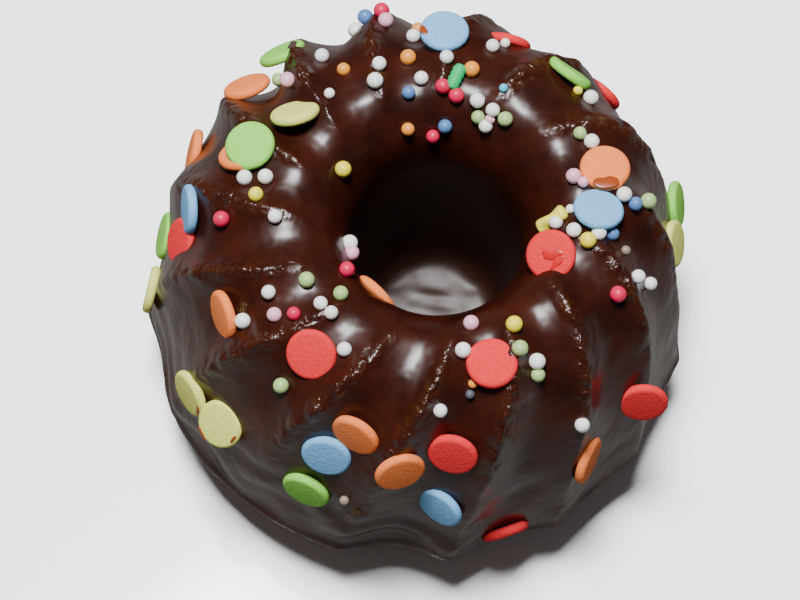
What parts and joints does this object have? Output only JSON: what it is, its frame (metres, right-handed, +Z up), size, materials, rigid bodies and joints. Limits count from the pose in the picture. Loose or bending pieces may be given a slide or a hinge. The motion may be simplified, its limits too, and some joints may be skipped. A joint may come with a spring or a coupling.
{
  "type": "fluted ring cake",
  "caption": "Small ring cake with twisted flutes and a blind centre hole, under dark chocolate glaze with sugar discs, pearls and rods, to rest on a plate.",
  "frame": {"origin": "centre of the bounding box's bottom, on the surface that the cake rests on", "axes": "+Z up along the hole's axis, +X to the right and -Y towards the viewer of the picture"},
  "size_m": [0.0737, 0.0746, 0.0468],
  "materials": {
    "chocolate_glaze": "dark glossy chocolate glaze over baked sponge, with matt sugar decorations"
  },
  "bodies": {
    "root": {"cake": "chocolate_glaze"}
  },
  "joints": []
}
